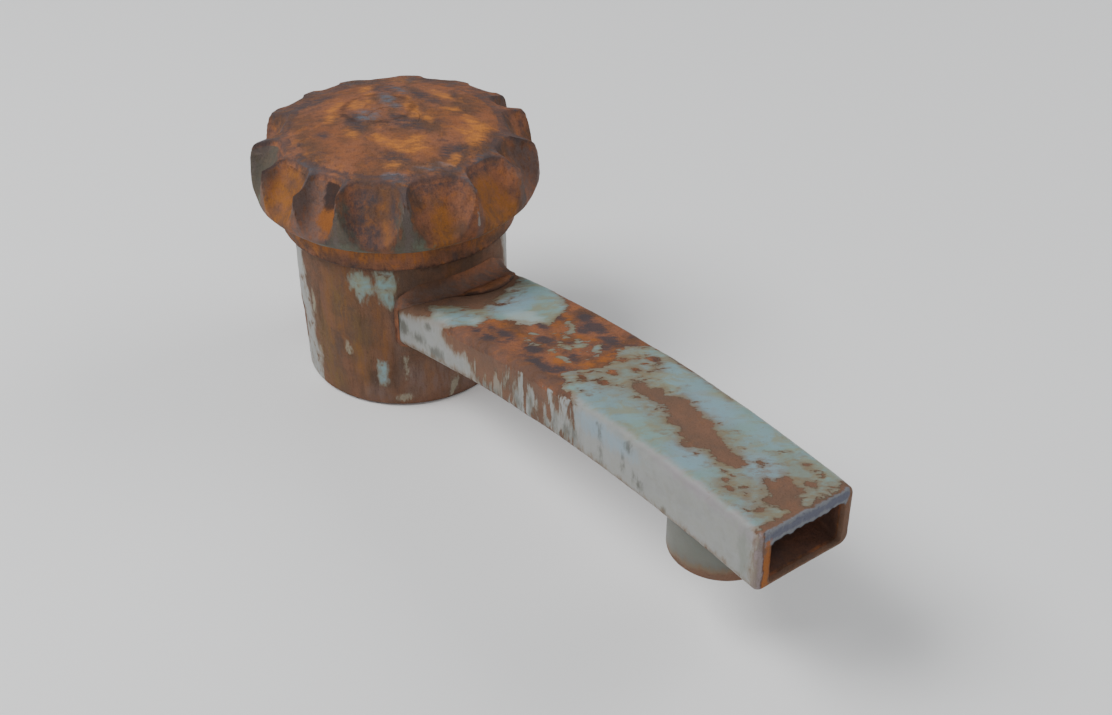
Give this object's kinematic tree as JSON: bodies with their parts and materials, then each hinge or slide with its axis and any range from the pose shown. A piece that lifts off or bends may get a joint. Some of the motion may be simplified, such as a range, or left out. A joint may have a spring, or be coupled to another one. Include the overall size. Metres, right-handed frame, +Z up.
{
  "type": "hose bib",
  "caption": "Deck-mounted single tap: round body, fluted turning knob on a collar ring, and a flat arched spout with an open tip and a screw-in aerator below it.",
  "frame": {"origin": "centre of the body's base, on the deck it stands on", "axes": "+Z up the knob's axis, +X along the spout, -Z out of the base into the deck"},
  "size_m": [0.1556, 0.0603, 0.0586],
  "materials": {
    "body_iron": "rusted, with streaks and remains of pale green paint",
    "collar_iron": "even orange-brown rust",
    "knob_iron": "rusted, worn grey on the ridges",
    "index_metal": "worn grey-brown metal",
    "spout_paint": "worn pale green and white paint with rust patches",
    "nozzle_paint": "grey-green paint, rusting at the lower edge",
    "inner_rust": "dark brown rust",
    "brass": "dull turned brass",
    "stainless": "satin",
    "rubber": "matt black",
    "white_plastic": "off-white"
  },
  "bodies": {
    "root": {"body_casing": "body_iron", "base_seal_ring": "rubber", "inlet_bush": "brass", "inlet_filter": "stainless", "stud_insert_left": "brass", "stud_insert_right": "brass", "seat_ring": "stainless", "headwork_bonnet": "brass", "bonnet_gasket": "rubber", "collar_ring": "collar_iron", "spout_shell": "spout_paint", "spout_root_fillet": "body_iron", "spout_spigot": "brass", "spout_end_plug": "inner_rust", "nozzle_socket": "brass", "aerator_housing": "nozzle_paint", "aerator_gasket": "rubber", "aerator_insert": "white_plastic", "aerator_screen": "stainless"},
    "handle": {"knob": "knob_iron", "knob_insert": "white_plastic", "knob_screw": "stainless", "screw_washer": "stainless", "index_cap": "index_metal", "spindle": "brass", "spindle_circlip": "stainless", "thrust_washer": "white_plastic", "spindle_o_ring_lower": "rubber", "spindle_o_ring_upper": "rubber"},
    "valve": {"valve_carrier": "brass", "tap_washer": "rubber", "washer_nut": "brass"}
  },
  "joints": [
    {"name": "knob_turn", "type": "hinge", "parent": "root", "child": "handle", "pos_m": [0, 0, 0.05], "axis": [0, 0, 1], "range_deg": [0, 630]},
    {"name": "valve_lift", "type": "slide", "parent": "root", "child": "valve", "axis": [0, 0, 1], "range_m": [0, 0.0035]}
  ],
  "couplings": [
    {"joint": "valve_lift", "follows": "knob_turn", "m_per_rad": 0.00031831}
  ]
}
